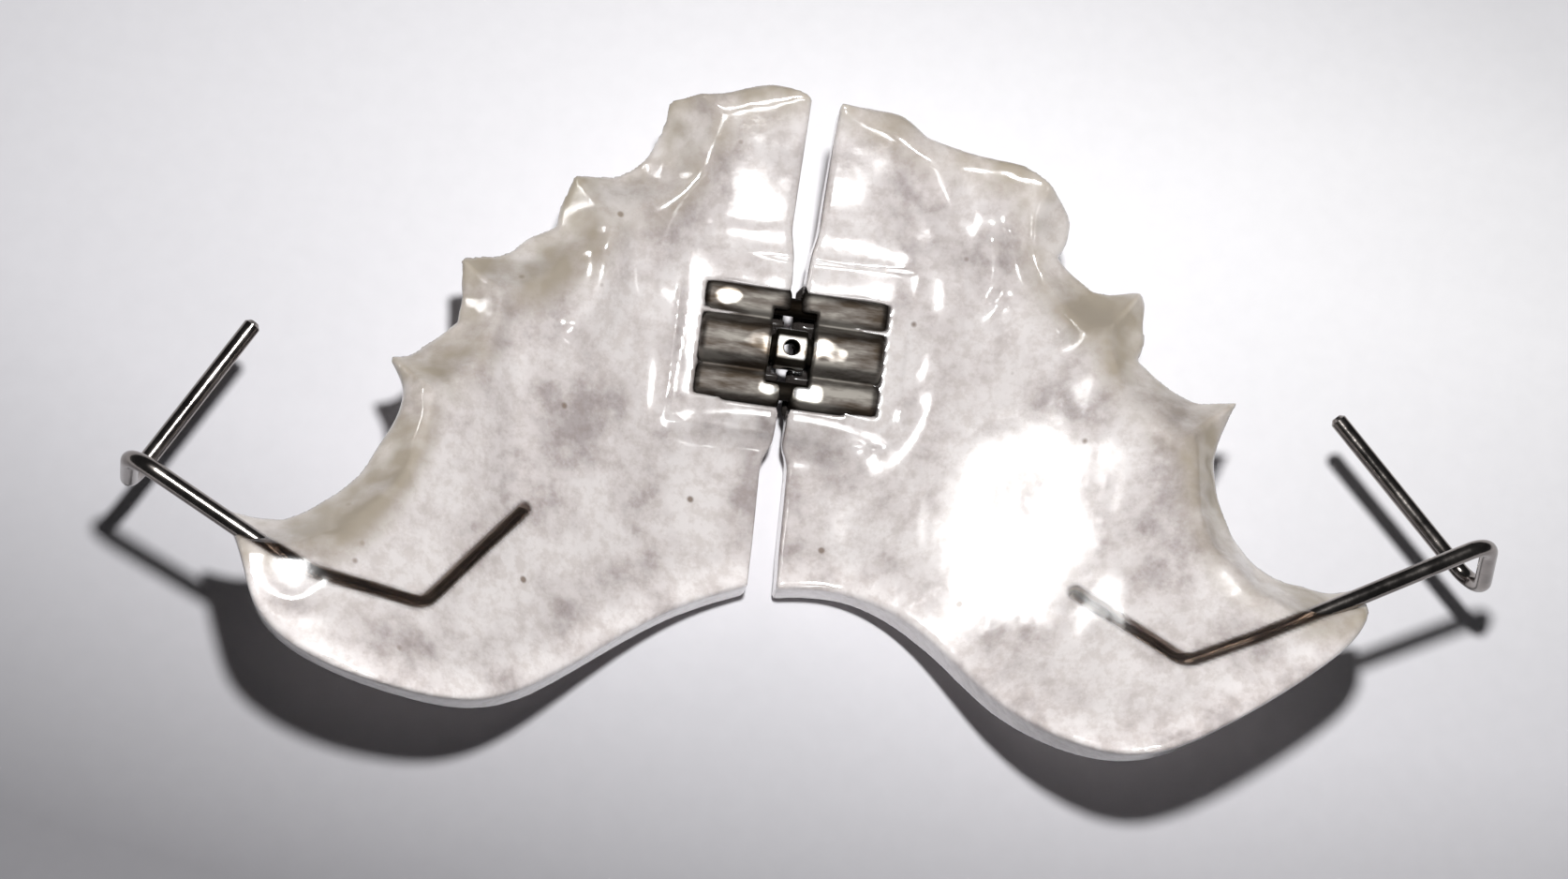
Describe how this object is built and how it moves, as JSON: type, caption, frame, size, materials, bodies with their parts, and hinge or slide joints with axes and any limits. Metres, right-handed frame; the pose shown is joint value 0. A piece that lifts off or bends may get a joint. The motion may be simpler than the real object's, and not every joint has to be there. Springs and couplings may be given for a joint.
{
  "type": "palatal expander",
  "caption": "Removable palatal expander: thin clear acrylic palate plate cut down the middle, joined by a jackscrew, with a bent wire clasp at each rear corner.",
  "frame": {"origin": "centre of the screw's spindle, where its key hole crosses the screw's axis", "axes": "+X along the screw to the right of someone who sees the tongue side with the front teeth's edge on top, +Y to the front teeth, +Z out of the tongue side; it lies on its domed palate side"},
  "size_m": [0.0632, 0.0317, 0.0121],
  "materials": {
    "acrylic": "polished, milky clear",
    "screw_steel": "polished stainless steel",
    "clasp_wire": "polished stainless steel wire"
  },
  "bodies": {
    "left_half": {"left_plate": "acrylic", "left_screw_block": "screw_steel", "left_clasp": "clasp_wire"},
    "right_half": {"right_plate": "acrylic", "right_screw_block": "screw_steel", "right_clasp": "clasp_wire"},
    "guide_pins": {"front_guide_pin": "screw_steel", "rear_guide_pin": "screw_steel"},
    "spindle": {"spindle": "screw_steel"}
  },
  "joints": [
    {"name": "expansion", "type": "slide", "parent": "left_half", "child": "right_half", "axis": [1, 0, 0], "range_m": [-0.0004, 0.0036]},
    {"name": "guide_slide", "type": "slide", "parent": "left_half", "child": "guide_pins", "axis": [1, 0, 0], "range_m": [-0.0002, 0.0018]},
    {"name": "spindle_turn", "type": "hinge", "parent": "guide_pins", "child": "spindle", "pos_m": [0, 0, 0], "axis": [1, 0, 0], "range_deg": [-181, 1621]}
  ],
  "couplings": [
    {"joint": "guide_slide", "follows": "expansion", "ratio": 0.5},
    {"joint": "spindle_turn", "follows": "expansion", "rad_per_m": 7854}
  ]
}
